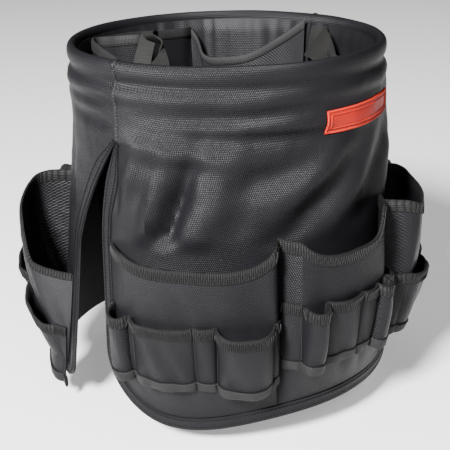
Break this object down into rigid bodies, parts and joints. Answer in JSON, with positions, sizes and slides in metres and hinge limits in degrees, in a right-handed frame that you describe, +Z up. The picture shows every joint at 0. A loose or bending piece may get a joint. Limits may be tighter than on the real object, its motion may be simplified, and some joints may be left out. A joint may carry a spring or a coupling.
{
  "type": "bucket tool organizer",
  "caption": "Fabric tool organizer that folds over a bucket's rim, with outer skirt flaps, bellows pockets, tool sleeves, inner pockets and webbing straps.",
  "frame": {"origin": "middle of the circle on which the bucket's rim bears, on the underside of the fold", "axes": "+Z up along the bucket's axis, -Y towards the middle of the front flap, the two slits at -X and +X"},
  "size_m": [0.4137, 0.4308, 0.3598],
  "materials": {
    "weave": "matt woven polyester",
    "lining": "matt woven polyester lining",
    "binding": "ribbed polyester binding tape",
    "webbing": "woven webbing",
    "label": "stitched twill"
  },
  "bodies": {
    "collar": {"rim_fold": "weave", "front_collar": "weave", "front_liner": "lining", "rear_collar": "weave", "rear_liner": "lining", "left_side_seam": "binding", "right_side_seam": "binding", "woven_label": "label", "inner_pocket_1": "lining", "inner_pocket_1_binding": "binding", "inner_pocket_2": "lining", "inner_pocket_2_binding": "binding", "inner_pocket_3": "lining", "inner_pocket_3_binding": "binding", "inner_pocket_4": "lining", "inner_pocket_4_binding": "binding", "inner_pocket_5": "lining", "inner_pocket_5_binding": "binding"},
    "front_skirt": {"front_flap": "weave", "front_edge_binding": "binding", "front_pocket_1": "weave", "front_pocket_1_binding": "binding", "front_sleeves_1": "weave", "front_sleeves_1_top_binding": "binding", "front_sleeves_1_bottom_binding": "binding", "front_pocket_2": "weave", "front_pocket_2_binding": "binding", "front_sleeves_2": "weave", "front_sleeves_2_top_binding": "binding", "front_sleeves_2_bottom_binding": "binding", "front_pocket_3": "weave", "front_pocket_3_binding": "binding", "front_sleeves_3": "weave", "front_sleeves_3_top_binding": "binding", "front_sleeves_3_bottom_binding": "binding", "front_pocket_4": "weave", "front_pocket_4_binding": "binding", "front_sleeves_4": "weave", "front_sleeves_4_top_binding": "binding", "front_sleeves_4_bottom_binding": "binding"},
    "rear_skirt": {"rear_flap": "weave", "rear_edge_binding": "binding", "rear_pocket_1": "weave", "rear_pocket_1_binding": "binding", "rear_sleeves_1": "weave", "rear_sleeves_1_top_binding": "binding", "rear_sleeves_1_bottom_binding": "binding", "rear_pocket_2": "weave", "rear_pocket_2_binding": "binding", "rear_sleeves_2": "weave", "rear_sleeves_2_top_binding": "binding", "rear_sleeves_2_bottom_binding": "binding", "rear_pocket_3": "weave", "rear_pocket_3_binding": "binding", "rear_sleeves_3": "weave", "rear_sleeves_3_top_binding": "binding", "rear_sleeves_3_bottom_binding": "binding"},
    "left_webbing": {"left_strap": "webbing"},
    "right_webbing": {"right_strap": "webbing"}
  },
  "joints": [
    {"name": "front_skirt_lift", "type": "hinge", "parent": "collar", "child": "front_skirt", "pos_m": [0, 0, -0.075], "axis": [-1, 0, 0], "range_deg": [0, 12]},
    {"name": "rear_skirt_lift", "type": "hinge", "parent": "collar", "child": "rear_skirt", "pos_m": [0, 0, -0.075], "axis": [1, 0, 0], "range_deg": [0, 12]},
    {"name": "left_strap_swing", "type": "hinge", "parent": "collar", "child": "left_webbing", "pos_m": [-0.1425, 0, -0.019], "axis": [0, -1, 0], "range_deg": [0, 60]},
    {"name": "right_strap_swing", "type": "hinge", "parent": "collar", "child": "right_webbing", "pos_m": [0.1425, 0, -0.019], "axis": [0, 1, 0], "range_deg": [0, 60]}
  ]
}
